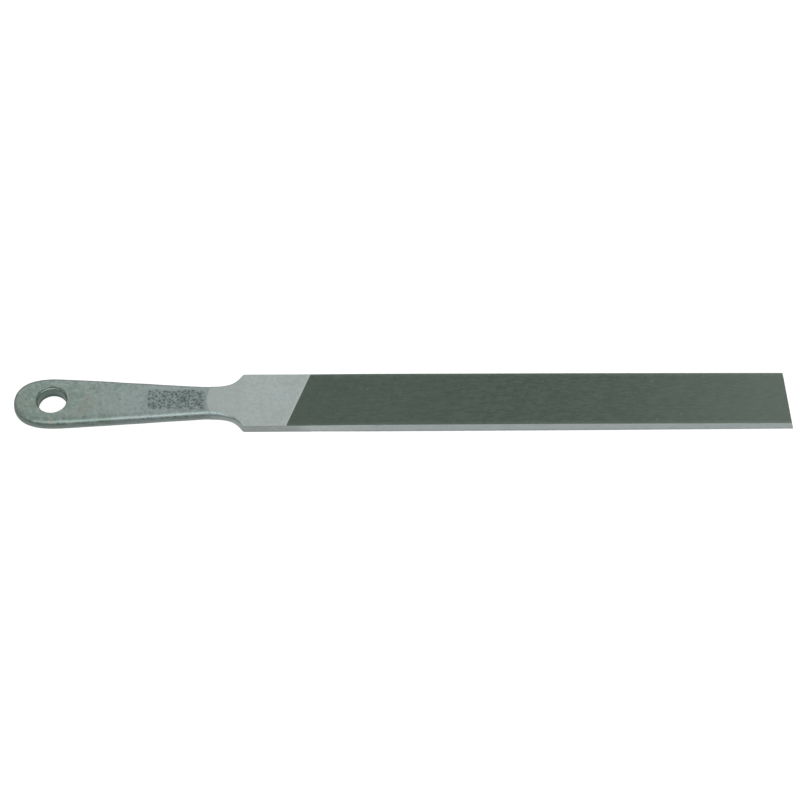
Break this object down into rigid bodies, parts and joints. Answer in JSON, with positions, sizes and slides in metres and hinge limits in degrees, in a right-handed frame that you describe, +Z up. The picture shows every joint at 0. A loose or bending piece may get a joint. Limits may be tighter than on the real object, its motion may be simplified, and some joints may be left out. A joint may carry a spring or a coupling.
{
  "type": "flat file",
  "caption": "One-piece steel flat file: parallel blade with fine teeth on both broad faces, smooth edges, forged neck and flat handle with a hanging hole.",
  "frame": {"origin": "bottom centre of the overall box: half way along the length and width, on the plane of the handle's underside", "axes": "+X along the length towards the blade's tip, +Y across the width, +Z up through the thickness"},
  "size_m": [0.282, 0.022, 0.006],
  "materials": {
    "steel": "as-forged grey-green handle, fine-ground heel and edges, dark toothed faces"
  },
  "bodies": {
    "root": {"file_body": "steel"}
  },
  "joints": []
}
